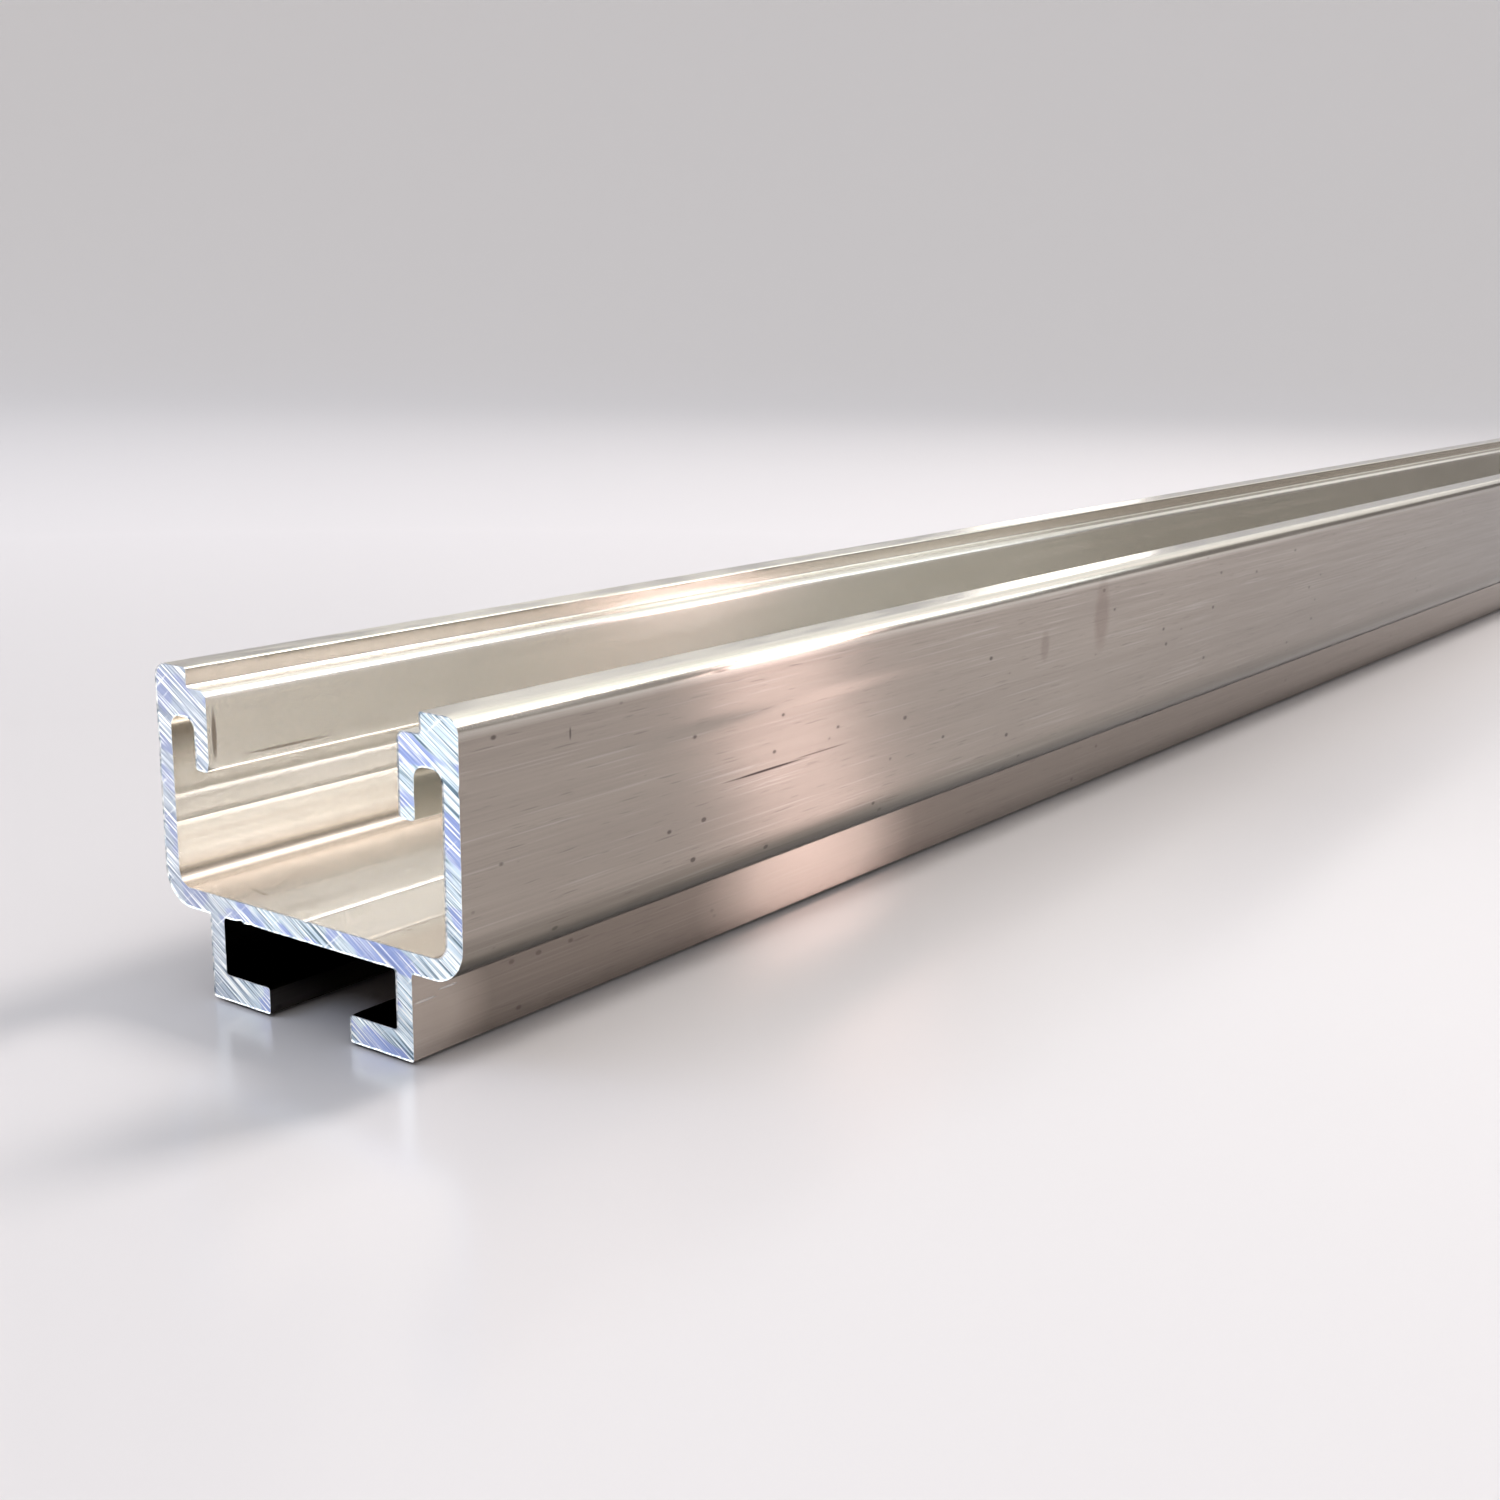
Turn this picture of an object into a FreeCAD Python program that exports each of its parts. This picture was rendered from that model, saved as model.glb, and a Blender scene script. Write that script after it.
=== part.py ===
"""Aluminium mounting rail: one extruded length, sawn square at both ends.

The rail lies on its two foot flanges with its open channel upwards.
+Z is up, the length runs along Y and the width along X.
The origin is under the middle of the rail, on the surface that it lies on.
All sizes are in millimetres.
"""
import FreeCAD, Part

import math
import os
import re

import Sketcher

NODE = "rail"

# Driving sizes. Each is set by itself; everything else is worked out from them.
SIZES = {
    # The whole rail.
    "rail_length": 1200.0,
    "rail_width": 40.0,
    "rail_height": 32.0,
    # The two side walls and the web between them.
    "wall_thick": 2.05,
    "web_thick": 2.05,
    "outer_bend": 3.6,
    "inner_bend": 1.6,
    # The stepped head of each wall, with the lip that hangs from it.
    "head_width": 4.6,
    "head_bend": 1.5,
    "step_drop": 1.95,
    "mouth_width": 25.3,
    "lip_thick": 1.95,
    "lip_drop": 7.85,
    "lip_top_round": 0.9,
    "lip_tip_round": 0.45,
    # The hook slot between a lip and its wall is measured down from the step.
    "roof_thick": 2.9,
    "roof_round": 1.2,
    # The T-slot under the web: two legs, each with a flange that turns inwards.
    "chamber_width": 23.2,
    "chamber_height": 5.65,
    "slot_width": 10.9,
    "leg_thick": 2.05,
    "flange_thick": 2.65,
    "chamber_round": 0.4,
    # The round on every other corner of the section.
    "edge_round": 0.3,
}


def make_sheet(doc):
    """Puts each driving size in a cell of its own, with its name as the alias."""
    sheet = doc.addObject("Spreadsheet::Sheet", "Sizes")
    for row, (name, value) in enumerate(SIZES.items(), start=1):
        sheet.set(f"A{row}", name)
        sheet.set(f"B{row}", str(value))
        sheet.setAlias(f"B{row}", name)
    doc.recompute()


def half_section():
    """Corners of the section's right half, anticlockwise: (x, z, radius), in terms of the sizes.

    Each straight side between two corners is level or upright.
    """
    side = "rail_width / 2"
    wall_inside = "rail_width / 2 - wall_thick"
    head_inside = "rail_width / 2 - head_width"
    lip_inside = "mouth_width / 2"
    lip_outside = "mouth_width / 2 + lip_thick"
    leg_inside = "chamber_width / 2"
    leg_outside = "chamber_width / 2 + leg_thick"
    flange_tip = "slot_width / 2"
    chamber_top = "flange_thick + chamber_height"
    floor = "flange_thick + chamber_height + web_thick"
    top = "rail_height"
    step = "rail_height - step_drop"
    roof = "rail_height - step_drop - roof_thick"
    lip_end = "rail_height - step_drop - lip_drop"
    edge = "edge_round"
    return [
        ("0", chamber_top, None),
        (leg_inside, chamber_top, "chamber_round"),
        (leg_inside, "flange_thick", edge),
        (flange_tip, "flange_thick", edge),
        (flange_tip, "0", edge),
        (leg_outside, "0", edge),
        (leg_outside, chamber_top, edge),
        (side, chamber_top, "outer_bend"),
        (side, top, "head_bend"),
        (head_inside, top, edge),
        (head_inside, step, edge),
        (lip_inside, step, "lip_top_round"),
        (lip_inside, lip_end, "min(lip_tip_round; 0.45 * lip_thick)"),
        (lip_outside, lip_end, "min(lip_tip_round; 0.45 * lip_thick)"),
        (lip_outside, roof, f"min(roof_round; 0.48 * ({wall_inside} - {lip_outside}))"),
        (wall_inside, roof, f"min(roof_round; 0.48 * ({wall_inside} - {lip_outside}))"),
        (wall_inside, floor, "inner_bend"),
        ("0", floor, None),
    ]


def on_sheet(expression):
    """The expression with each size's name led by the sheet's, as other objects write it."""
    return re.sub(r"[a-z]+(_[a-z]+)+", r"Sizes.\g<0>", expression)


def bind(sketch, index, name, expression):
    """Names a constraint of the sketch and ties it to the sheet."""
    sketch.renameConstraint(index, name)
    sketch.setExpression("Constraints." + name, on_sheet(expression))


def add_side(sketch, name, start, end, place):
    """A level or upright side; place is (kind, value, expression) of its distance from an axis."""
    line = sketch.addGeometry(Part.LineSegment(start, end), False)
    kind, value, expression = place
    sketch.addConstraint(Sketcher.Constraint("Vertical" if kind == "DistanceX" else "Horizontal", line))
    if expression == "0":
        axis = -2 if kind == "DistanceX" else -1
        sketch.addConstraint(Sketcher.Constraint("PointOnObject", line, 1, axis))
    else:
        index = sketch.addConstraint(Sketcher.Constraint(kind, -1, 1, line, 1, value))
        bind(sketch, index, name, expression)
    return line


def add_round(sketch, name, corner, radius, expression, before, after, lines):
    """The arc at a corner, tangent to the sides before and after it."""
    centre = corner + (after - before) * radius
    turns_left = before.x * after.y - before.y * after.x > 0
    first, last = (-after, before) if turns_left else (before, -after)
    start_angle = math.atan2(first.y, first.x)
    end_angle = math.atan2(last.y, last.x)
    if end_angle < start_angle:
        end_angle += 2 * math.pi
    circle = Part.Circle(centre, FreeCAD.Vector(0, 0, 1), radius)
    arc = sketch.addGeometry(Part.ArcOfCircle(circle, start_angle, end_angle), False)
    line_in, line_out = lines
    arc_in, arc_out = (1, 2) if turns_left else (2, 1)
    sketch.addConstraint(Sketcher.Constraint("Tangent", line_in, 2, arc, arc_in))
    sketch.addConstraint(Sketcher.Constraint("Tangent", line_out, 1, arc, arc_out))
    index = sketch.addConstraint(Sketcher.Constraint("Radius", arc, radius))
    bind(sketch, index, name, expression)


def draw_outline(sketch, corners):
    """Closed outline of level and upright sides, each end tied to the sheet's sizes."""
    value = lambda expression: float(sketch.evalExpression(on_sheet(expression)))
    points = [FreeCAD.Vector(value(x), value(z), 0) for x, z, _ in corners]
    radii = [value(radius) if radius else 0.0 for _, _, radius in corners]
    count = len(corners)
    ways = [(points[(i + 1) % count] - points[i]).normalize() for i in range(count)]
    lines = []
    for i in range(count):
        j = (i + 1) % count
        start = points[i] + ways[i] * radii[i]
        end = points[j] - ways[i] * radii[j]
        if abs(ways[i].x) < 0.5:
            place = ("DistanceX", points[i].x, corners[i][0])
        else:
            place = ("DistanceY", points[i].y, corners[i][1])
        lines.append(add_side(sketch, f"side_{i}", start, end, place))
    for i in range(count):
        sides = (lines[i - 1], lines[i])
        if radii[i]:
            add_round(sketch, f"round_{i}", points[i], radii[i], corners[i][2], ways[i - 1], ways[i], sides)
        else:
            sketch.addConstraint(Sketcher.Constraint("Coincident", sides[0], 2, sides[1], 1))


def origin_plane(body, role):
    """One of the body's own origin planes."""
    return next(item for item in body.Origin.OriginFeatures if item.Role == role)


def make_rail(doc):
    """The rail's right half, pushed out both ways from its middle and mirrored to the left."""
    body = doc.addObject("PartDesign::Body", NODE)
    body.Label = NODE
    sketch = body.newObject("Sketcher::SketchObject", "half_section")
    sketch.AttachmentSupport = (origin_plane(body, "XZ_Plane"), [""])
    sketch.MapMode = "FlatFace"
    doc.recompute()
    draw_outline(sketch, half_section())
    doc.recompute()

    half = body.newObject("PartDesign::Pad", "half_rail")
    half.Profile = sketch
    half.SideType = "Symmetric"
    half.setExpression("Length", "Sizes.rail_length")
    doc.recompute()

    whole = body.newObject("PartDesign::Mirrored", "whole_rail")
    whole.Originals = [half]
    whole.MirrorPlane = (origin_plane(body, "YZ_Plane"), [""])
    whole.Refine = True
    body.Tip = whole
    doc.recompute()
    return body, sketch


def check(doc, body, sketch):
    """Stops unless every feature worked, the sketch is fully tied down and the rail is one solid."""
    for item in doc.Objects:
        failed = {"Invalid", "Error"} & set(item.State)
        if failed:
            raise RuntimeError(f"{item.Name} is {sorted(failed)}")
    if not sketch.FullyConstrained:
        raise RuntimeError("the section is not fully constrained")
    shape = body.Shape
    if shape.isNull() or not shape.isValid() or len(shape.Solids) != 1:
        raise RuntimeError("the rail is not one valid solid")


document = FreeCAD.newDocument("MountingRail")
make_sheet(document)
rail, section = make_rail(document)
check(document, rail, section)

box = rail.Shape.BoundBox
area = rail.Shape.Volume / box.YLength
print(f"rail {box.XLength:.2f} x {box.YLength:.2f} x {box.ZLength:.2f} mm")
print(f"section {area:.1f} mm2, {len(rail.Shape.Faces)} faces")

os.makedirs("parts", exist_ok=True)
rail.Shape.exportStep(f"parts/{NODE}.step")
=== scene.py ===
# %% [markdown]
# # An aluminium mounting rail
#
# The object is one length of extruded aluminium: an open channel with a T-slot under it, sawn off square.
# The model of its solid comes in as a frame. This script gives it the fine relief, the finish, the light
# and the camera. Everything is in metres, +Z is up and the rail lies along Y.

import math
import random

import bmesh
import bpy
from mathutils import Matrix, Vector, noise
from mathutils.geometry import tessellate_polygon


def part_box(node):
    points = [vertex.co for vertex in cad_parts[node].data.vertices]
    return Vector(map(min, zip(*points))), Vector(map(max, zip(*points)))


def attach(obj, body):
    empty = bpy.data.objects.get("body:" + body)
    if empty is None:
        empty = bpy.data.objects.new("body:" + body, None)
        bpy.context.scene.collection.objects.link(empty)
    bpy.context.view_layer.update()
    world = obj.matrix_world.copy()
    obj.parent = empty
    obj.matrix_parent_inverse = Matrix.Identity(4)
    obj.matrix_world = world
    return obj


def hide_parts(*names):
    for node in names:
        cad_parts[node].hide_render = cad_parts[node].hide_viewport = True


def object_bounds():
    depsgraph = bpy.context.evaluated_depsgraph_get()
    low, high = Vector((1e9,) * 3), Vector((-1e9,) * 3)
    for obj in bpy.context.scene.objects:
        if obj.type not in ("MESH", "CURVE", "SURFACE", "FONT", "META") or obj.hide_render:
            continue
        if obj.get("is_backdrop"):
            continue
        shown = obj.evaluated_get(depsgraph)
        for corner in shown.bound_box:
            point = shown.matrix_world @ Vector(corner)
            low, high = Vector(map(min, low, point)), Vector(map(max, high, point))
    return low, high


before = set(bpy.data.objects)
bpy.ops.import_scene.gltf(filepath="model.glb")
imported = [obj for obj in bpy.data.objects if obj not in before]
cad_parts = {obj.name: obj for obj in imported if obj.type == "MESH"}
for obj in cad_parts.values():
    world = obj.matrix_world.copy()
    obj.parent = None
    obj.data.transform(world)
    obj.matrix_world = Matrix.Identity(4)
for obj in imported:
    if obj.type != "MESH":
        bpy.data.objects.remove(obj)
cad_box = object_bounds()

MM = 0.001
low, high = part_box("rail")
print("rail", [round(v / MM, 2) for v in high - low], "mm")

# %% [markdown]
# ## Two helpers
#
# A colour is easiest to choose as an sRGB hex value, as a picture program shows it. Blender's shaders work
# in linear light, so one function turns the one into the other. A second function adds a node to a
# material, sets its values and joins its inputs, so a material reads as a recipe.

# %% Colours and nodes
def linear(code):
    """Linear red, green, blue and 1 from an sRGB hex value such as '#c8c2ba'."""
    parts = [int(code[i:i + 2], 16) / 255 for i in (1, 3, 5)]
    return [c / 12.92 if c <= 0.04045 else ((c + 0.055) / 1.055) ** 2.4 for c in parts] + [1.0]


def add(tree, kind, settings=None, inputs=None):
    """Adds a node; settings are its properties, and inputs, by name or number, are values or sockets."""
    node = tree.nodes.new(kind)
    for name, value in (settings or {}).items():
        setattr(node, name, value)
    for name, value in (inputs or {}).items():
        if isinstance(value, bpy.types.NodeSocket):
            tree.links.new(value, node.inputs[name])
        else:
            node.inputs[name].default_value = value
    return node


def new_material(name):
    """An empty material with only its output, and the two of them."""
    material = bpy.data.materials.new(name)
    material.use_nodes = True
    material.node_tree.nodes.clear()
    output = add(material.node_tree, "ShaderNodeOutputMaterial")
    return material, material.node_tree, output


# %% [markdown]
# ## The section's outline
#
# The rail's shape is all in its section: every point of the outline runs straight from one end to the
# other. Reading the outline from the frame's own end face keeps this mesh true to the solid. The face's
# border edges are put in order, which gives one closed loop of points in millimetres.

# %% Read the outline from the end face
def end_outline(node):
    """The border of the face at the lowest Y, in order: (x, z) in millimetres, anticlockwise."""
    mesh = bmesh.new()
    mesh.from_mesh(node.data)
    bmesh.ops.remove_doubles(mesh, verts=mesh.verts, dist=0.001 * MM)
    faces = [f for f in mesh.faces if all(abs(v.co.y - low.y) < 0.01 * MM for v in f.verts)]
    cap = set(faces)
    border = [e for f in faces for e in f.edges if sum(g in cap for g in e.link_faces) == 1]
    step = {}
    for edge in border:
        a, b = edge.verts
        step.setdefault(a, []).append(b)
        step.setdefault(b, []).append(a)
    loop = [border[0].verts[0]]
    came_from = None
    while True:
        following = next(v for v in step[loop[-1]] if v is not came_from)
        came_from = loop[-1]
        if following is loop[0]:
            break
        loop.append(following)
    points = [Vector((v.co.x / MM, v.co.z / MM)) for v in loop]
    mesh.free()
    twice_area = sum(a.x * b.y - b.x * a.y for a, b in zip(points, points[1:] + points[:1]))
    return points if twice_area > 0 else points[::-1]


outline = end_outline(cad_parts["rail"])
print(len(outline), "points round the section")

# %% [markdown]
# ## Fine relief along the rail
#
# The press leaves fine straight lines on an extrusion. The largest is a scribed line along the middle of
# the channel's floor, which shows where to drill. Smaller ones run along the walls, where the die is worn.
# They are only a tenth of a millimetre high, but they catch the light from end to end, so they are real
# folds in the mesh: a few points are added to the outline and pushed in or out of the surface.

# %% Press lines as folds of the outline
def crossings(points, axis, value):
    """Where the outline crosses the line at which one coordinate (0 is x, 1 is z) has a value, in order."""
    other = 1 - axis
    found = []
    for a, b in zip(points, points[1:] + points[:1]):
        if (a[axis] - value) * (b[axis] - value) < 0:
            t = (value - a[axis]) / (b[axis] - a[axis])
            found.append(a[other] + (b[other] - a[other]) * t)
    return sorted(found)


FLOOR_HEIGHT = crossings(outline, 0, 0.0)[-1]
WALL_INSIDE = crossings(outline, 1, 18.0)[-2]
print("channel floor at", round(FLOOR_HEIGHT, 2), "mm, wall's inner face at", round(WALL_INSIDE, 2), "mm")


def fold(points, at, half_width, depth):
    """The outline with a small V pushed into it at the point of a straight side nearest to at."""
    best = None
    for i, a in enumerate(points):
        b = points[(i + 1) % len(points)]
        along = (b - a).normalized()
        reach = (at - a).dot(along)
        off = abs((at - a).cross(along))
        inside = half_width < reach < (b - a).length - half_width
        if inside and (best is None or off < best[0]):
            best = (off, i, a + along * reach, along)
    _, i, centre, along = best
    outward = Vector((along.y, -along.x))
    extra = [centre - along * half_width, centre - outward * depth, centre + along * half_width]
    return points[:i + 1] + extra + points[i + 1:]


PRESS_LINES = [  # place (x, z), half the width, depth; a negative depth stands proud
    ((0.0, FLOOR_HEIGHT), 0.30, 0.14),
    ((-WALL_INSIDE, 19.4), 0.20, -0.05),
    ((-WALL_INSIDE, 16.6), 0.16, -0.05),
    ((WALL_INSIDE, 18.2), 0.20, -0.05),
    ((-9.8, FLOOR_HEIGHT), 0.18, -0.04),
    ((8.4, FLOOR_HEIGHT), 0.18, 0.04),
]
for place, half_width, depth in PRESS_LINES:
    outline = fold(outline, Vector(place), half_width, depth)
print(len(outline), "points with the press lines")

# %% [markdown]
# ## The long surfaces
#
# The sides are the outline swept along Y. Straight runs of the outline are first divided into short steps,
# so that the sawn edge can be ragged later. Rings of points lie close together near each end, where the
# saw's burr and nicks are, and far apart between.

# %% Divide the outline's long runs
EDGE_STEP = 0.5


def divided(points, step):
    """The outline with its long runs cut into steps no longer than step."""
    out = []
    for a, b in zip(points, points[1:] + points[:1]):
        pieces = max(1, math.ceil((b - a).length / step))
        out += [a.lerp(b, k / pieces) for k in range(pieces)]
    return out


outline = divided(outline, EDGE_STEP)
count = len(outline)
normals = []
for i in range(count):
    along = (outline[(i + 1) % count] - outline[i - 1]).normalized()
    normals.append(Vector((along.y, -along.x)))
run = [0.0]
for a, b in zip(outline, outline[1:] + outline[:1]):
    run.append(run[-1] + (b - a).length)
print(count, "points after division,", round(run[-1], 1), "mm round the section")

# %% Tell the channel's surfaces from the outside
CHANNEL_HALF = 19.3


def in_channel(point):
    """Whether a point of the outline belongs to the channel: its floor, inner walls, lips and head tops."""
    return point.y > FLOOR_HEIGHT - 0.3 and abs(point.x) < CHANNEL_HALF


clean_side = [in_channel((a + b) / 2) for a, b in zip(outline, outline[1:] + outline[:1])]
print(sum(clean_side), "of", count, "strips lie in the channel")

# %% [markdown]
# ## The sawn ends
#
# A saw leaves three things on aluminium: a face of long parallel grooves, a thin ragged burr along every
# edge, and here and there a nick where a tooth tore the edge. The grooves are real: the end face is cut
# along slanting lines, and each line is pushed in or out a few hundredths of a millimetre. The burr is a
# narrow rim that stands a little proud of the face. Nothing passes the end plane of the solid, so the
# face itself is set back by the burr's height.

# %% Sizes of the saw's marks
BURR_WIDTH = 0.12
BURR_HEIGHT = 0.07
RAGGED = 0.045
GROOVE_STEP = 0.32
GROOVE_DEPTH = 0.028
GROOVE_SLANT = math.radians(-32)
NICKS = [  # place (x, z), width, deepest
    ((-9.4, 8.3), 0.35, 0.45), ((-7.5, 8.3), 0.30, 0.35), ((-6.9, 8.3), 0.22, 0.25),
    ((-20.0, 24.0), 0.5, 0.25), ((20.0, 25.6), 0.3, 0.12),
    ((5.5, 2.6), 0.3, 0.2), ((-12.7, 22.6), 0.3, 0.2),
]
random.seed(11)


def raggedness(point, side):
    """How far the sawn edge strays from the outline here, in millimetres."""
    return RAGGED * noise.noise(Vector((point.x * 1.7, point.y * 1.7, side * 9.0)))


def nick_depth(point, side):
    """How deep a torn nick cuts into the edge here; only the near end has them."""
    if side > 0:
        return 0.0
    depth = 0.0
    for (x, z), width, deepest in NICKS:
        away = (point - Vector((x, z))).length
        depth = max(depth, deepest * max(0.0, 1 - away / width))
    return depth


groove_levels = [random.uniform(-1, 1) * GROOVE_DEPTH for _ in range(400)]


def groove(point):
    """Height of the saw's grooves at a point of the end face."""
    across = Vector((-math.sin(GROOVE_SLANT), math.cos(GROOVE_SLANT)))
    place = point.dot(across) / GROOVE_STEP + 200
    k = int(place)
    t = place - k
    return groove_levels[k] * (1 - t) + groove_levels[k + 1] * t


# %% Build the rail's mesh
def end_rings(side):
    """Rings of the outline at one end, from the sawn edge inwards: lists of corners in metres."""
    end = low.y if side < 0 else high.y
    rings = []
    for depth_in, share in ((0.0, 1.0), (0.3, 0.45), (1.2, 0.0)):
        ring = []
        for point, normal in zip(outline, normals):
            stray = share * (abs(raggedness(point, side)) + nick_depth(point, side))
            place = point - normal * stray
            rise = 0.35 + 0.65 * noise.noise(Vector((*point, side))) ** 2
            set_back = 0.0 if depth_in else BURR_HEIGHT * rise
            ring.append(Vector((place.x * MM, end - side * (depth_in + set_back) * MM, place.y * MM)))
        rings.append(ring)
    return rings


def rim_ring(side, edge_ring):
    """The inner ring of the burr, where the flat of the sawn face starts."""
    end = low.y if side < 0 else high.y
    ring = []
    for corner, normal in zip(edge_ring, normals):
        place = Vector((corner.x / MM, corner.z / MM)) - normal * BURR_WIDTH
        ring.append(Vector((place.x * MM, end - side * (BURR_HEIGHT + GROOVE_DEPTH) * MM, place.y * MM)))
    return ring


def sawn_face(mesh, ring, side):
    """Fills a ring with the sawn face and cuts it along the saw's grooves."""
    flat = [Vector((v.co.x, v.co.z, 0)) for v in ring]
    faces = [mesh.faces.new([ring[i] for i in triangle]) for triangle in tessellate_polygon([flat])]
    across = Vector((-math.sin(GROOVE_SLANT), 0, math.cos(GROOVE_SLANT)))
    reach = max(abs(v.co.dot(across)) for v in ring)
    steps = int(reach / (GROOVE_STEP * MM)) + 1
    parts = list(faces)
    for k in range(-steps, steps + 1):
        corners = {v for f in parts for v in f.verts}
        edges = {e for f in parts for e in f.edges}
        cut = bmesh.ops.bisect_plane(
            mesh, geom=list(corners) + list(edges) + parts, dist=1e-8,
            plane_co=across * k * GROOVE_STEP * MM, plane_no=across)
        parts = [g for g in cut["geom"] if isinstance(g, bmesh.types.BMFace)]
    kept = set(ring)
    for v in {v for f in parts for v in f.verts}:
        if v not in kept:
            v.co.y -= side * groove(Vector((v.co.x / MM, v.co.z / MM))) * MM
    return parts


CLEAN, HANDLED, SAWN, BURR = range(4)  # the order of the rail's materials


def build_rail():
    """The whole rail: long sides, burrs and sawn faces, each with its material's number."""
    mesh = bmesh.new()
    near, far = end_rings(-1), end_rings(1)
    middle = 8
    between = []
    for k in range(1, middle):
        y = low.y + (high.y - low.y) * k / middle
        between.append([Vector((p.x * MM, y, p.y * MM)) for p in outline])
    rings = [[mesh.verts.new(c) for c in ring] for ring in near + between + far[::-1]]
    drawn = mesh.loops.layers.uv.new("drawn_through_die")
    for first, second in zip(rings, rings[1:]):
        for i in range(count):
            j = (i + 1) % count
            side = mesh.faces.new((first[i], first[j], second[j], second[i]))
            side.smooth = True
            side.material_index = CLEAN if clean_side[i] else HANDLED
            for loop, round_mm in zip(side.loops, (run[i], run[i + 1], run[i + 1], run[i])):
                loop[drawn].uv = (round_mm * MM, loop.vert.co.y)
    for ring, side in ((rings[0], -1), (rings[-1], 1)):
        inner = [mesh.verts.new(c) for c in rim_ring(side, [v.co for v in ring])]
        for i in range(count):
            j = (i + 1) % count
            corners = (ring[i], inner[i], inner[j], ring[j])
            mesh.faces.new(corners if side < 0 else corners[::-1]).material_index = BURR
        for face in sawn_face(mesh, inner, side):
            face.material_index = SAWN
    bmesh.ops.recalc_face_normals(mesh, faces=mesh.faces)
    data = bpy.data.meshes.new("mounting_rail")
    mesh.to_mesh(data)
    mesh.free()
    return data


rail_data = build_rail()
rail = bpy.data.objects.new("mounting_rail", rail_data)
bpy.context.scene.collection.objects.link(rail)
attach(rail, "root")
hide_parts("rail")
triangles = sum(len(p.vertices) - 2 for p in rail_data.polygons)
print("rail mesh:", len(rail_data.polygons), "faces,", triangles, "triangles")

# %% [markdown]
# Long smooth sides need a hard break wherever the section turns a corner of more than a few degrees.
# Marking those edges sharp keeps the flats flat while the small rounds still shade as rounds.

# %% Sharp edges by angle
SHARP_TURN = math.radians(28)
rail_data.set_sharp_from_angle(angle=SHARP_TURN)

# %% [markdown]
# ## Mill-finish aluminium
#
# "Mill finish" is aluminium as it leaves the press, with no anodising or paint: a bright metal under a thin
# warm-grey oxide. Its surface is drawn through the die, so all its marks run lengthwise. That gives the
# eye two things: fine straight lines, and highlights that smear across the rail but not along it.
# The lines come from noise stretched along Y, and the smear from the shader's anisotropy. Real die lines
# are under 0.1 mm wide, too fine for the picture, so here they are drawn two to five times as wide.

# %% Die lines
PER_MM = 1 / MM


def die_lines(tree, place, across_mm, along_mm, detail):
    """Noise whose cells are across_mm wide and along_mm long, drawn out along Y."""
    scale = (PER_MM / across_mm, PER_MM / along_mm, PER_MM / across_mm)
    mapped = add(tree, "ShaderNodeMapping", None, {"Vector": place, "Scale": scale})
    lines = add(tree, "ShaderNodeTexNoise", None, {
        "Vector": mapped.outputs["Vector"], "Scale": 1.0, "Detail": detail, "Roughness": 0.6})
    return lines.outputs["Fac"]


def tinted(tree, colour, pattern, start, end, code, most=1.0):
    """The colour, turned towards code as the pattern rises from start to end."""
    share = add(tree, "ShaderNodeMapRange", None, {
        "Value": pattern, "From Min": start, "From Max": end, "To Max": most}).outputs["Result"]
    mixed = add(tree, "ShaderNodeMix", {"data_type": "RGBA"}, {0: share, 6: colour, 7: linear(code)})
    return mixed.outputs[2]


# %% [markdown]
# The outside has been gripped, stacked and slid: it is greyer than the inside and carries short streaks,
# small pits and a few scratches and smudges. Each is a soft ellipsoid in the rail's own space, at the
# place where it is on the object; two of them, here and inside, are painted shade: the wall farther from
# the near end and deep in the far hook slot. A picture could be painted on instead, but these follow the
# metal round its corners and need no unwrapping. Pits come from a cell pattern, where only the cells'
# middles show.

# %% Scratches, smudges, pits and patches of painted shade
def mark(tree, place, centre, reach):
    """1 at the mark's centre, 0 beyond its reach; both are x, y, z in mm, with y from the near end."""
    scale = [PER_MM / r for r in reach]
    middle = [centre[0] * MM, low.y + centre[1] * MM, centre[2] * MM]
    moved = add(tree, "ShaderNodeMapping", None, {
        "Vector": place, "Scale": scale, "Location": [-m * s for m, s in zip(middle, scale)]})
    return add(tree, "ShaderNodeTexGradient", {"gradient_type": "SPHERICAL"}, {
        "Vector": moved.outputs["Vector"]}).outputs["Fac"]


PITS_APART = (3, 5, 3)  # mm along X, Y and Z


def pits(tree, place):
    """Small dark pits, a few millimetres apart: nearness to scattered points."""
    scale = [PER_MM / apart for apart in PITS_APART]
    mapped = add(tree, "ShaderNodeMapping", None, {"Vector": place, "Scale": scale})
    cells = add(tree, "ShaderNodeTexVoronoi", None, {"Vector": mapped.outputs["Vector"], "Scale": 1.0})
    nearness = add(tree, "ShaderNodeMath", {"operation": "SUBTRACT"}, {
        0: 1.0, 1: cells.outputs["Distance"]})
    return nearness.outputs[0]


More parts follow.
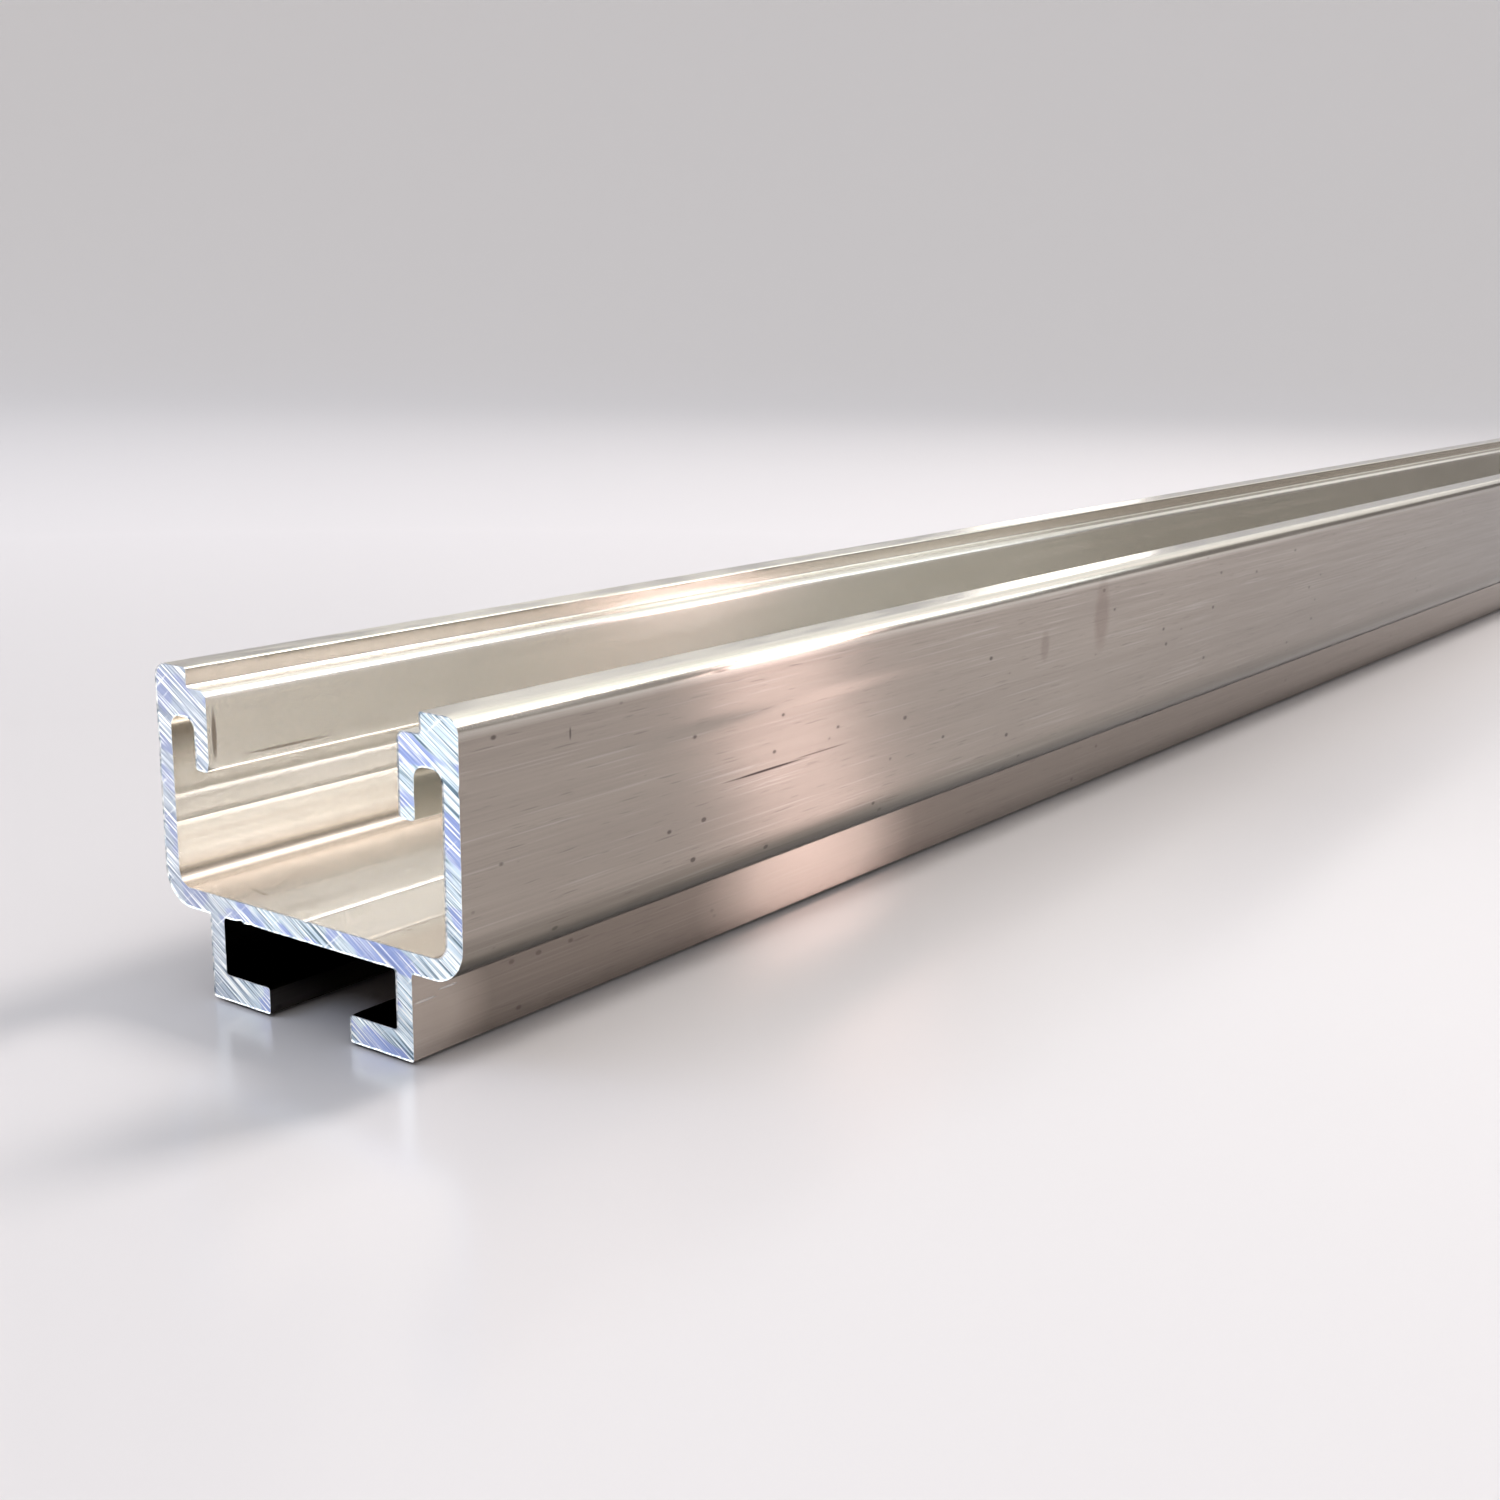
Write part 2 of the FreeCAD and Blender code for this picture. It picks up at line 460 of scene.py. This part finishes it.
# %% Where the marks are: centre, reach, colour, and how much of the colour shows
OUTSIDE_MARKS = [
    ((20.0, 44.0, 19.3), (0.5, 8.0, 0.16), "#3d3433", 0.95),  # the long scratch on the wall
    ((20.0, 53.5, 19.5), (0.5, 6.0, 0.12), "#6b5f5b", 0.8),  # its fainter end
    ((19.6, 36.0, 30.7), (0.6, 2.6, 0.22), "#4a3f3a", 0.9),  # a scuff under the top corner
    # Painted shade: the wall darker farther from the near end.
    ((20.0, 560.0, 16.0), (8.0, 450.0, 40.0), "#544e48", 0.75),  # the wall is duller farther on
    ((20.0, 119.5, 26.0), (0.6, 2.6, 5.5), "#8a7a72", 0.55),  # a smudge from a finger
    ((20.0, 103.7, 24.0), (0.6, 1.4, 2.4), "#8c7f78", 0.5),  # a smaller one
    ((20.0, 13.9, 28.3), (0.5, 0.16, 0.7), "#57504d", 0.8),  # a short upright tick
    ((13.65, 0.0, 3.5), (0.6, 10.0, 7.0), "#cfc4ba", 0.7),  # the leg is cleaner at its sawn end
    ((13.65, 62.0, 4.0), (0.6, 22.0, 9.0), "#dccfc4", 0.6),  # and where it has been wiped
]
CHANNEL_MARKS = [
    ((9.2, 4.2, 10.35), (0.16, 0.3, 0.3), "#6a5f55", 1.0),  # a speck on the floor
    ((-10.9, 3.3, 10.35), (0.9, 0.14, 0.3), "#8d7d6c", 0.9),  # two short scores beside the far bend
    ((-9.3, 3.0, 10.35), (0.9, 0.16, 0.3), "#8d7d6c", 0.9),
    ((-17.95, 8.6, 21.4), (0.3, 0.3, 0.16), "#7a7066", 0.9),  # a speck on the far wall
    # Painted shade deep in the far hook slot.
    ((-16.3, 6.0, 26.0), (2.6, 60.0, 5.5), "#a39b8d", 0.8),  # duller metal deep in the far hook slot
    ((-12.65, 0.8, 25.8), (0.3, 0.35, 2.8), "#8d8072", 0.8),  # a dent along the far lip's sawn edge
    ((-12.65, 9.5, 23.3), (0.3, 6.2, 0.18), "#9a8e80", 0.7),  # a scrape along the far lip's tip
]
LEG_SCRATCH = [((13.65, 1.5, 5.45), (0.4, 1.5, 0.14)), ((13.65, 4.3, 5.95), (0.4, 1.3, 0.13))]

# %% [markdown]
# Inside, the channel has hardly been touched, so it is clean and pale. Shade is painted into the two
# corners along its floor as a faint tan, and the bends there are painted darker. The flat tops have been
# rubbed
# by what slid over them: they are greyer, and shinier in patches, while the sides of the heads between them
# stayed bright.

# %% What use did to the channel, and painted shade in its corners
HEAD_TINTS = [  # from height, to height in mm, colour, most
    (29.5, 29.9, "#cbc9bf", 0.85),  # the step on top of each lip
    (30.2, 30.4, "#f2e9df", 0.9),  # the inner side of each head
    (31.5, 31.8, "#cbc9bf", 0.85),  # the flat top of each head
]
RUBBED_PATCH = (1.6, 9, 1.0)  # mm across and along, detail


def channel_wear_and_shade(tree, place, colour, rough):
    """The channel's colour after use and with painted shade in its corners, its roughness, and how metallic
    it is.
    """
    height = add(tree, "ShaderNodeSeparateXYZ", None, {"Vector": place}).outputs["Z"]
    for start, end, code, most in HEAD_TINTS:
        colour = tinted(tree, colour, height, start * MM, end * MM, code, most)
    # Painted shade: the corners and bends along the channel's floor are darkened.
    colour = in_corners(tree, place, colour)
    rubbed_tops = add(tree, "ShaderNodeMapRange", None, {
        "Value": die_lines(tree, place, *RUBBED_PATCH), "From Min": 0.45, "From Max": 0.58,
        "To Min": 0.22, "To Max": 0.13})
    on_top = add(tree, "ShaderNodeMapRange", None, {
        "Value": height, "From Min": 31.3 * MM, "From Max": 31.8 * MM})
    rough = add(tree, "ShaderNodeMix", {"data_type": "FLOAT"}, {
        0: on_top.outputs["Result"], 2: rough, 3: rubbed_tops.outputs["Result"]}).outputs[0]
    return colour, rough, 1.0


def in_corners(tree, place, colour):
    """Painted shade: a faint tan in the two corners along the channel's floor, and darker bends."""
    at = add(tree, "ShaderNodeSeparateXYZ", None, {"Vector": place})
    from_middle = add(tree, "ShaderNodeMath", {"operation": "ABSOLUTE"}, {0: at.outputs["X"]}).outputs[0]
    outwards = add(tree, "ShaderNodeMapRange", {"interpolation_type": "SMOOTHSTEP"}, {
        "Value": from_middle, "From Min": 6 * MM, "From Max": 12 * MM})
    low_down = add(tree, "ShaderNodeMapRange", {"interpolation_type": "SMOOTHSTEP"}, {
        "Value": at.outputs["Z"], "From Min": 11 * MM, "From Max": 13.5 * MM,
        "To Min": 1.0, "To Max": 0.0})
    film = add(tree, "ShaderNodeMath", {"operation": "MULTIPLY"}, {
        0: outwards.outputs["Result"], 1: low_down.outputs["Result"]})
    # Painted shade and reflection: a faint tan in the corners along the floor.
    colour = tinted(tree, colour, film.outputs[0], 0.0, 1.0, "#cbc0b2", 0.8)
    in_bend = add(tree, "ShaderNodeMapRange", None, {
        "Value": from_middle, "From Min": 16.2 * MM, "From Max": 16.8 * MM})
    near_floor = add(tree, "ShaderNodeMapRange", None, {
        "Value": at.outputs["Z"], "From Min": 11.6 * MM, "From Max": 12.2 * MM,
        "To Min": 1.0, "To Max": 0.0})
    bend = add(tree, "ShaderNodeMath", {"operation": "MULTIPLY"}, {
        0: in_bend.outputs["Result"], 1: near_floor.outputs["Result"]})
    # Painted shade: the bends along the floor darker.
    return tinted(tree, colour, bend.outputs[0], 0.0, 1.0, "#938b7f", 0.75)


# %% [markdown]
# Outside, shade is painted into the colour: under the bend at the bottom of each wall, on the legs, darkest
# in the
# T-slot, and farther along the rail. The top corners are painted lighter, partly where hands and cloths rub
# them bright and partly as a painted highlight. A fresh scratch on the near leg is painted white, partly
# metal torn to white and partly
# a painted highlight along it: torn metal scatters light as paper does, so it is drawn as not metallic.

# %% What use did to the outside, and painted shade and highlights
SMEARS = (0.2, 5, 1.0)  # mm across and along, detail


def outside_wear_and_shade(tree, place, colour, rough):
    """The outside's colour after use with painted shade and highlights, its roughness, and how metallic it
    is.
    """
    colour = tinted(tree, colour, die_lines(tree, place, *SMEARS), 0.66, 0.74, "#6f6763", 0.5)
    colour = tinted(tree, colour, pits(tree, place), 0.90, 0.94, "#4f4744", 0.75)
    colour = with_painted_shade(tree, place, colour)
    # A white scratch on the near leg: partly torn metal, partly a painted highlight along it.
    white_scratch_glint = add(tree, "ShaderNodeMath", {"operation": "MAXIMUM"}, {
        0: mark(tree, place, *LEG_SCRATCH[0]), 1: mark(tree, place, *LEG_SCRATCH[1])}).outputs[0]
    colour = tinted(tree, colour, white_scratch_glint, 0.0, 0.3, "#ffffff")
    metallic = add(tree, "ShaderNodeMapRange", None, {
        "Value": white_scratch_glint, "From Max": 0.3, "To Min": 1.0, "To Max": 0.0})
    return colour, rough, metallic.outputs["Result"]


def with_painted_shade(tree, place, colour):
    """Painted shade in the slot, on the legs, under each lower bend and farther along the rail, and a top
    corner painted lighter: partly rubbed, partly a painted highlight.
    """
    at = add(tree, "ShaderNodeSeparateXYZ", None, {"Vector": place})
    from_middle = add(tree, "ShaderNodeMath", {"operation": "ABSOLUTE"}, {0: at.outputs["X"]}).outputs[0]
    # Painted shade: the outside darker from 90 mm to 330 mm from the near end.
    colour = tinted(tree, colour, at.outputs["Y"], low.y + 90 * MM, low.y + 330 * MM, "#7d756c", 0.5)
    beyond_leg = add(tree, "ShaderNodeMapRange", None, {
        "Value": from_middle, "From Min": 13.7 * MM, "From Max": 13.9 * MM})
    low_down = add(tree, "ShaderNodeMapRange", {"interpolation_type": "SMOOTHSTEP"}, {
        "Value": at.outputs["Z"], "From Min": 9.2 * MM, "From Max": 13.4 * MM,
        "To Min": 1.0, "To Max": 0.0})
    under_bend = add(tree, "ShaderNodeMath", {"operation": "MULTIPLY"}, {
        0: beyond_leg.outputs["Result"], 1: low_down.outputs["Result"]})
    # Painted shade under the bend at the bottom of each wall.
    colour = tinted(tree, colour, under_bend.outputs[0], 0.0, 1.0, "#3b382f", 0.95)
    inwards = add(tree, "ShaderNodeMath", {"operation": "SUBTRACT"}, {0: high.x, 1: from_middle})
    below_web = add(tree, "ShaderNodeMapRange", None, {
        "Value": at.outputs["Z"], "From Min": 8.2 * MM, "From Max": 8.35 * MM,
        "To Min": 1.0, "To Max": 0.0})
    in_from_wall = add(tree, "ShaderNodeMath", {"operation": "MULTIPLY"}, {
        0: inwards.outputs[0], 1: below_web.outputs["Result"]}).outputs[0]
    # Painted shade on the legs below the web, darkest inside the T-slot.
    colour = tinted(tree, colour, in_from_wall, 6.0 * MM, 6.3 * MM, "#7f736c", 0.55)
    colour = tinted(tree, colour, in_from_wall, 8.0 * MM, 8.3 * MM, "#2e2c2a", 0.8)
    # The top corner painted lighter: partly rubbed metal, partly a painted highlight.
    return tinted(tree, colour, at.outputs["Z"], 29.9 * MM, 30.9 * MM, "#e2ded4", 0.9)


# %% [markdown]
# Both finishes are one recipe: a dull and a bright tone that change from line to line, a roughness that
# changes a little with them, the wear with its painted shade and highlights, the marks, and a faint bump of
# the lines.
# The full anisotropy smears each highlight round the section, which is what tells the eye that the metal
# was drawn.

# %% Mill finish, clean or handled
OXIDE_PATCH = (9, 45, 2.0)  # mm across and along, detail
ROUGHNESS_SWING = 0.03
LINE_RELIEF = 0.05  # mm


def mill_finish(name, dull, bright, fine, broad, roughness, relief, use_and_shade, marks):
    """Aluminium as pressed. fine and broad are its lines, each (across, along) in mm."""
    material, tree, output = new_material(name)
    place = add(tree, "ShaderNodeTexCoord").outputs["Object"]
    fine_lines = die_lines(tree, place, *fine, 1.0)
    broad_lines = die_lines(tree, place, *broad, 2.0)
    line_height = add(tree, "ShaderNodeMix", {"data_type": "FLOAT"}, {
        0: 0.5, 2: fine_lines, 3: broad_lines}).outputs[0]
    colour = tinted(tree, linear(dull), line_height, 0.36, 0.64, bright)
    colour = tinted(tree, colour, die_lines(tree, place, *OXIDE_PATCH), 0.45, 0.7, dull, 0.6)
    colour = tinted(tree, colour, fine_lines, 0.64, 0.70, "#ffffff", 0.1)
    rough = add(tree, "ShaderNodeMapRange", None, {
        "Value": line_height, "From Min": 0.38, "From Max": 0.62,
        "To Min": roughness + ROUGHNESS_SWING, "To Max": roughness - ROUGHNESS_SWING})
    colour, rough, metallic = use_and_shade(tree, place, colour, rough.outputs["Result"])
    for centre, reach, code, most in marks:
        colour = tinted(tree, colour, mark(tree, place, centre, reach), 0.0, 0.5, code, most)
    bump = add(tree, "ShaderNodeBump", None, {
        "Strength": relief, "Distance": LINE_RELIEF * MM, "Height": line_height})
    across_rail = add(tree, "ShaderNodeTangent", {
        "direction_type": "UV_MAP", "uv_map": "drawn_through_die"})
    shader = add(tree, "ShaderNodeBsdfPrincipled", None, {
        "Base Color": colour, "Metallic": metallic, "Roughness": rough, "Anisotropic": 1.0,
        "Normal": bump.outputs["Normal"], "Tangent": across_rail.outputs["Tangent"]})
    tree.links.new(shader.outputs["BSDF"], output.inputs["Surface"])
    print(name, len(tree.nodes), "nodes")
    return material


clean_mill = mill_finish(
    "mill_finish_aluminium", "#dedbd3", "#f8f6f1", (0.5, 500), (2.6, 1400), 0.23, 0.1,
    channel_wear_and_shade, CHANNEL_MARKS)
handled_mill = mill_finish(
    "handled_mill_finish_aluminium", "#a49b92", "#afa69c", (0.22, 22), (1.0, 90), 0.17, 0.14,
    outside_wear_and_shade, OUTSIDE_MARKS)

# %% [markdown]
# ## Saw-cut aluminium
#
# The cut is bare fresh metal, so it is whiter and cooler than the sides. Each tooth dragged a slanting
# streak across it, white where it shaved and grey where it tore. In smooth patches the blade only rubbed,
# and they look a little blue. Towards the left the whole cut turns greyer, and a few later
# scratches cross the streaks. All of these are noise stretched along the saw's path, finer than the grooves
# of the mesh. The real streaks are about 0.1 mm wide, and the finest here are drawn at 0.14 mm.

# %% Saw-cut pattern
sawn_aluminium, tree, output = new_material("saw_cut_aluminium")
place = add(tree, "ShaderNodeTexCoord").outputs["Object"]
CUT_DEPTH = 20  # mm: long against the depth of the grooves, so a streak doesn't change within them
CROSSING_TURN = math.radians(70)


def saw_streaks(tree, place, slant, across_mm, along_mm, detail):
    """Noise drawn out in the plane of the sawn face, along a path that slants by this angle."""
    path = add(tree, "ShaderNodeMapping", None, {"Vector": place, "Rotation": (0, slant, 0)})
    scale = (PER_MM / along_mm, PER_MM / CUT_DEPTH, PER_MM / across_mm)
    mapped = add(tree, "ShaderNodeMapping", None, {"Vector": path.outputs["Vector"], "Scale": scale})
    lines = add(tree, "ShaderNodeTexNoise", None, {
        "Vector": mapped.outputs["Vector"], "Scale": 1.0, "Detail": detail, "Roughness": 0.6})
    return lines.outputs["Fac"]


fine_streaks = saw_streaks(tree, place, GROOVE_SLANT, 0.14, 7.0, 0.0)
coarse_streaks = saw_streaks(tree, place, GROOVE_SLANT, 0.3, 14.0, 1.0)
rubbed = saw_streaks(tree, place, GROOVE_SLANT, 3.2, 7.0, 1.0)
crossing = saw_streaks(tree, place, GROOVE_SLANT + CROSSING_TURN, 0.25, 6.0, 0.0)
streak = add(tree, "ShaderNodeMix", {"data_type": "FLOAT"}, {
    0: 0.3, 2: fine_streaks, 3: coarse_streaks}).outputs[0]

# %% Saw-cut colour and shine
torn = tinted(tree, linear("#667b8c"), streak, 0.37, 0.46, "#c9d7e5")
patchy = tinted(tree, torn, rubbed, 0.53, 0.56, "#9aa8dc", 0.85)
rightwards = add(tree, "ShaderNodeSeparateXYZ", None, {"Vector": place}).outputs["X"]
leftwards = add(tree, "ShaderNodeMath", {"operation": "MULTIPLY"}, {0: rightwards, 1: -1.0}).outputs[0]
greyer = tinted(tree, patchy, leftwards, 7 * MM, 14 * MM, "#9a9cae", 0.6)
shaved = tinted(tree, greyer, streak, 0.53, 0.60, "#ffffff", 0.9)
cut_colour = tinted(tree, shaved, crossing, 0.73, 0.77, "#ffffff", 0.6)
cut_rough = add(tree, "ShaderNodeMapRange", None, {
    "Value": rubbed, "From Min": 0.53, "From Max": 0.57, "To Min": 0.5, "To Max": 0.56})
cut_bump = add(tree, "ShaderNodeBump", None, {"Strength": 0.5, "Distance": 0.05 * MM, "Height": streak})
cut_shader = add(tree, "ShaderNodeBsdfPrincipled", None, {
    "Base Color": cut_colour, "Metallic": 1.0, "Roughness": cut_rough.outputs["Result"],
    "Normal": cut_bump.outputs["Normal"]})
tree.links.new(cut_shader.outputs["BSDF"], output.inputs["Surface"])
print("saw cut:", len(tree.nodes), "nodes")

# %% [markdown]
# ## The burr
#
# The burr is metal rolled over by the teeth. It is smoother than the cut and faces every way at once, so
# some point of it always sparkles. A lighter colour and a low roughness give that thin bright rim.

# %% Burr material
burr_aluminium, tree, output = new_material("rolled_burr_aluminium")
place = add(tree, "ShaderNodeTexCoord").outputs["Object"]
BURR_PATCH = 0.5  # mm between its bright and its dull places
rolled = add(tree, "ShaderNodeTexNoise", None, {
    "Vector": place, "Scale": PER_MM / BURR_PATCH, "Detail": 2.0}).outputs["Fac"]
burr_rough = add(tree, "ShaderNodeMapRange", None, {
    "Value": rolled, "From Min": 0.3, "From Max": 0.7, "To Min": 0.25, "To Max": 0.45})
burr_shader = add(tree, "ShaderNodeBsdfPrincipled", None, {
    "Base Color": tinted(tree, linear("#a9b6c3"), rolled, 0.40, 0.58, "#ffffff"), "Metallic": 1.0,
    "Roughness": burr_rough.outputs["Result"]})
tree.links.new(burr_shader.outputs["BSDF"], output.inputs["Surface"])

for material in (clean_mill, handled_mill, sawn_aluminium, burr_aluminium):
    rail_data.materials.append(material)
print("materials:", [m.name for m in rail_data.materials])

# %% [markdown]
# ## Floor and backdrop
#
# The rail lies on a pale table top. A round sweep, a flat floor that curves slowly up into a wall all the
# way round, shows no horizon from any side. The wall turns a little darker than the floor because it is
# farther from the lamps. The table top is faintly glossy round the sawn end, where it mirrors the two
# feet, and matt farther off, so that it mirrors no lamp there.

# %% Floor sweep
SWEEP_FLAT = 1.2
SWEEP_BEND = 4.0
SWEEP_SIDES = 96
SWEEP_STEPS = 30
INNER_RING = 0.4
STANDS_OFF = 0.3 * MM  # the burrs under the feet hold the rail this far off the table


def make_sweep():
    """A round floor whose rim curves up into a wall."""
    profile = [(INNER_RING, -STANDS_OFF), (SWEEP_FLAT, -STANDS_OFF)]
    for k in range(1, SWEEP_STEPS + 1):
        turn = math.pi / 2 * k / SWEEP_STEPS
        height = SWEEP_BEND * (1 - math.cos(turn)) - STANDS_OFF
        profile.append((SWEEP_FLAT + SWEEP_BEND * math.sin(turn), height))
    mesh = bmesh.new()
    rings = []
    for radius, height in profile:
        turns = [math.tau * k / SWEEP_SIDES for k in range(SWEEP_SIDES)]
        rings.append([mesh.verts.new((radius * math.cos(a), radius * math.sin(a), height)) for a in turns])
    mesh.faces.new(rings[0])
    for inner, outer in zip(rings, rings[1:]):
        for k in range(SWEEP_SIDES):
            j = (k + 1) % SWEEP_SIDES
            mesh.faces.new((inner[k], outer[k], outer[j], inner[j])).smooth = True
    data = bpy.data.meshes.new("floor_sweep")
    mesh.to_mesh(data)
    mesh.free()
    return bpy.data.objects.new("floor_sweep", data)


floor = make_sweep()
bpy.context.scene.collection.objects.link(floor)
floor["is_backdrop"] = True
print("floor:", len(floor.data.polygons), "faces")

# %% Table top, glossy near the sawn end and matt beyond
TABLE_COLOUR = "#eeebed"
GLOSSY_WITHIN, MATT_BEYOND = 0.15, 0.4
table_top, tree, output = new_material("pale_table_top")
polished = add(tree, "ShaderNodeBsdfPrincipled", None, {
    "Base Color": linear(TABLE_COLOUR), "Roughness": 0.2, "Specular IOR Level": 0.4})
matt = add(tree, "ShaderNodeBsdfDiffuse", None, {"Color": linear(TABLE_COLOUR)})
table_place = add(tree, "ShaderNodeTexCoord").outputs["Object"]
from_end = add(tree, "ShaderNodeVectorMath", {"operation": "DISTANCE"}, {0: table_place, 1: (0, low.y, 0)})
matt_share = add(tree, "ShaderNodeMapRange", None, {
    "Value": from_end.outputs["Value"], "From Min": GLOSSY_WITHIN, "From Max": MATT_BEYOND})
table_shader = add(tree, "ShaderNodeMixShader", None, {
    0: matt_share.outputs["Result"], 1: polished.outputs["BSDF"], 2: matt.outputs["BSDF"]})
tree.links.new(table_shader.outputs["Shader"], output.inputs["Surface"])
floor.data.materials.append(table_top)

# %% [markdown]
# ## Light
#
# A metal shows what is round it more than its own colour, so its light comes from two sets of lamps. Two
# light the table: a soft lamp at the right behind the near end, which throws the shadow to the left and the
# front, and a wide cool window in front of the end. The pale room fills the shadow. The others light
# nothing and are only there to be mirrored, each placed where some surface of the rail looks.

# %% World
world = bpy.data.worlds.new("room")
bpy.context.scene.world = world
world.use_nodes = True
tree = world.node_tree
tree.nodes.clear()
room = add(tree, "ShaderNodeBackground", None, {"Color": linear("#fffffc"), "Strength": 0.72})
add(tree, "ShaderNodeOutputWorld", None, {"Surface": room.outputs["Background"]})

# %% Place and make a soft lamp
near_end = Vector((0, low.y, 0))


def toward(azimuth, elevation, distance):
    """A place seen from the near end: azimuth in degrees to the right of the rail's length, then up."""
    a, e = math.radians(azimuth), math.radians(elevation)
    return near_end + distance * Vector((math.sin(a) * math.cos(e), math.cos(a) * math.cos(e), math.sin(e)))


def soft_lamp(name, place, width, height, colour, brightness):
    """A rectangular lamp that faces the near end; a larger one at the same brightness gives more light."""
    lamp = bpy.data.lights.new(name, "AREA")
    lamp.shape = "RECTANGLE"
    lamp.size, lamp.size_y = width, height
    lamp.color = linear(colour)[:3]
    lamp.energy = 4 * brightness * width * height
    light = bpy.data.objects.new(name, lamp)
    light.location = place
    light.rotation_euler = (place - near_end).to_track_quat("Z", "Y").to_euler()
    light.visible_camera = False
    bpy.context.scene.collection.objects.link(light)
    return light


# %% The two lamps that light the table
KEY_SPREAD = math.radians(80)  # a narrow beam, which leaves the wall behind the rail darker
shadow_key = soft_lamp("shadow_key", toward(17, 42, 1.6), 0.36, 0.62, "#fff8f2", 2.9)
shadow_key.data.spread = KEY_SPREAD
shadow_key.visible_glossy = False
cool_window = soft_lamp("cool_window", toward(-143, 45, 1.8), 1.4, 1.0, "#cfe0ff", 1.4)
print("table lit by", shadow_key.name, "and", cool_window.name)

# %% [markdown]
# The rail's lines smear a mirrored lamp into a band across its faces, so what counts is a lamp's angle from
# the rail's length. Inside the channel, a lamp high at the right and a wide cream board over the far end
# are mirrored. The rounds of the heads show the board at the right, and the two head tops the narrow white
# window far off at the left, as glints. The near wall shows the narrow warm window as a band. It leans,
# because the directions at one angle from the rail's length lie on a cone: a leaning strip follows
# the cone and its band gets crisp edges. The sawn end shows the low board behind the camera.

# %% The lamps that are only mirrored
channel_key = soft_lamp("channel_key", toward(40, 45, 1.15), 0.5, 0.5, "#fffafc", 7.2)
cream_board = soft_lamp("cream_board", toward(-16, 32, 2.2), 2.4, 1.5, "#fffdf6", 0.46)
right_board = soft_lamp("right_board", toward(27, 26, 1.5), 0.5, 0.45, "#f2f8fa", 2.6)
white_window = soft_lamp("white_window", toward(-25.4, 9.8, 3.12), 0.26, 0.5, "#fffbf6", 1.8)
warm_window = soft_lamp("warm_window", toward(34.0, 11, 0.85), 0.062, 0.36, "#ffe3e0", 4.0)
WINDOW_LEAN = math.radians(-15)
warm_window.rotation_euler.rotate_axis("Z", WINDOW_LEAN)
end_board = soft_lamp("end_board", toward(-143.8, 12, 0.42), 0.5, 0.16, "#f8fbf6", 3.0)
mirrored_only = (channel_key, cream_board, right_board, white_window, warm_window, end_board)
for light in mirrored_only:
    light.visible_diffuse = False
print("only mirrored:", [light.name for light in mirrored_only])

# %% [markdown]
# Two cards of matt cloth are mirrored too. The grey one at the right is calmer than the bright room, so
# the near wall stays darker than the channel, and the round at its top shades softly into it. The black
# one stands in front of the sawn end. It keeps the room's light off the end and the T-slot.

# %% Cloth for the cards
black_cloth, tree, output = new_material("black_cloth")
weave = add(tree, "ShaderNodeBsdfDiffuse", None, {"Color": linear("#2a2625")})
tree.links.new(weave.outputs["BSDF"], output.inputs["Surface"])
grey_cloth, tree, output = new_material("grey_cloth")
weave = add(tree, "ShaderNodeBsdfDiffuse", None, {"Color": linear("#97928e")})
tree.links.new(weave.outputs["BSDF"], output.inputs["Surface"])


# %% The two cards
def cloth_card(name, place, turn, width, height, cloth):
    """An upright cloth card that the camera doesn't see; turn is in degrees, 0 faces along X."""
    data = bpy.data.meshes.new(name)
    corners = [(0, y * width / 2, z * height / 2) for y, z in ((-1, -1), (1, -1), (1, 1), (-1, 1))]
    data.from_pydata(corners, [], [(0, 1, 2, 3)])
    data.materials.append(cloth)
    card = bpy.data.objects.new(name, data)
    card.location = place
    card.rotation_euler.z = math.radians(turn)
    card.visible_camera = False
    bpy.context.scene.collection.objects.link(card)
    card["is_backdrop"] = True
    return card


side_card = cloth_card("side_card", near_end + Vector((0.62, 1.5, 0.6)), 0, 4.0, 1.2, grey_cloth)
side_card.visible_diffuse = side_card.visible_shadow = False
front_card = cloth_card("front_card", near_end + Vector((0.0, -0.5, 0.22)), 90, 1.2, 0.44, black_cloth)
print("cards:", side_card.name, front_card.name)

# %% [markdown]
# ## Camera
#
# The camera stands in front of the sawn end and to its right, a little above the rail, and looks along it.
# Its place and turn were found by fitting the section and the long edges to the photograph.

# %% Camera at the photograph's viewing angle
LOOK_LEFT = math.radians(36.16)
LOOK_DOWN = math.radians(13.14)
ROLL = math.radians(-0.73)
EYE_FROM_END = Vector((130.3, -110.0, 65.55)) * MM
FOCAL_PER_WIDTH = 1910.0 / 1500

forward = Vector((-math.sin(LOOK_LEFT) * math.cos(LOOK_DOWN), math.cos(LOOK_LEFT) * math.cos(LOOK_DOWN),
                  -math.sin(LOOK_DOWN)))
level = forward.cross(Vector((0, 0, 1))).normalized()
down = forward.cross(level)
right = level * math.cos(ROLL) + down * math.sin(ROLL)
lens = bpy.data.cameras.new("photographer")
lens.sensor_width = 36.0
lens.lens = lens.sensor_width * FOCAL_PER_WIDTH
lens.clip_start = 0.01
camera = bpy.data.objects.new("photographer", lens)
camera.matrix_world = (Matrix.Translation(near_end + EYE_FROM_END)
                       @ Matrix((right, forward.cross(right) * -1, -forward)).transposed().to_4x4())
bpy.context.scene.collection.objects.link(camera)
bpy.context.scene.camera = camera
bpy.context.scene.view_settings.view_transform = "Standard"
print("camera", [round(v, 4) for v in camera.location], "lens", round(lens.lens, 2))

# %% Keep both boxes, then finish
dressed_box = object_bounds()
sizes = zip(cad_box[1] - cad_box[0], dressed_box[1] - dressed_box[0])
print("size grew by", [round((dressed - cad) / MM, 3) for cad, dressed in sizes], "mm")
